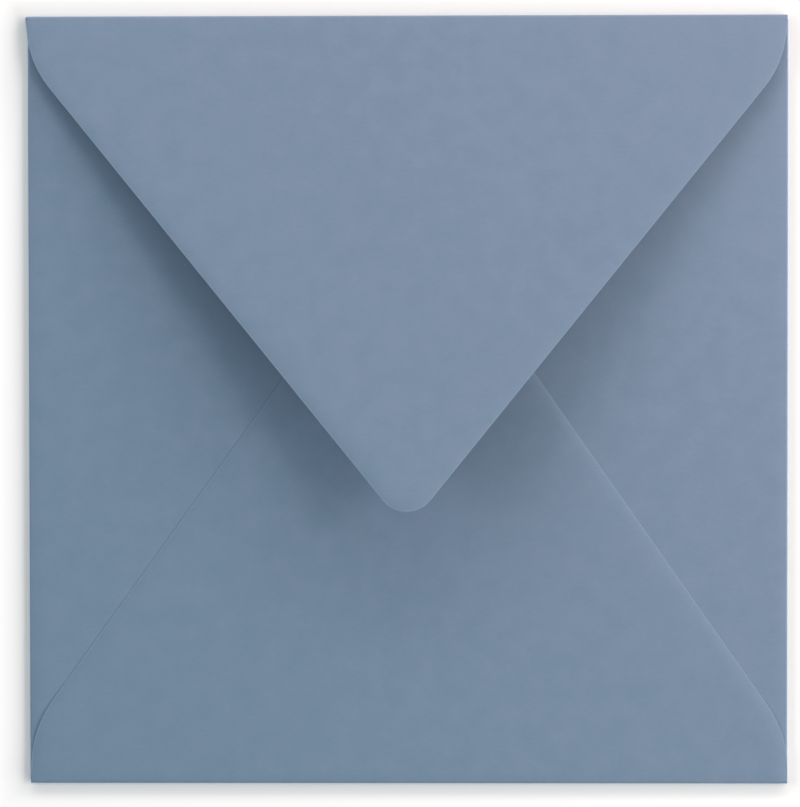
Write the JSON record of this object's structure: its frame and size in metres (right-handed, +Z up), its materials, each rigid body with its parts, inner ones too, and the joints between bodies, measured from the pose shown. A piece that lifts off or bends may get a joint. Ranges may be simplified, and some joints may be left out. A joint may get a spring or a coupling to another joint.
{
  "type": "paper envelope",
  "caption": "Square paper envelope lying flap side up, with a deep pointed seal flap closed over two side flaps and a glued bottom flap.",
  "frame": {"origin": "the middle of the bounding box's underside, on the outer face of the flat front panel, which rests on the table", "axes": "+Z up out of the flap side, +Y towards the seal flap's fold, +X to the right when the flap side is seen with that fold at the top"},
  "size_m": [0.1547, 0.156, 0.0116],
  "materials": {
    "paper": "matte uncoated"
  },
  "bodies": {
    "root": {"envelope": "paper"}
  },
  "joints": []
}
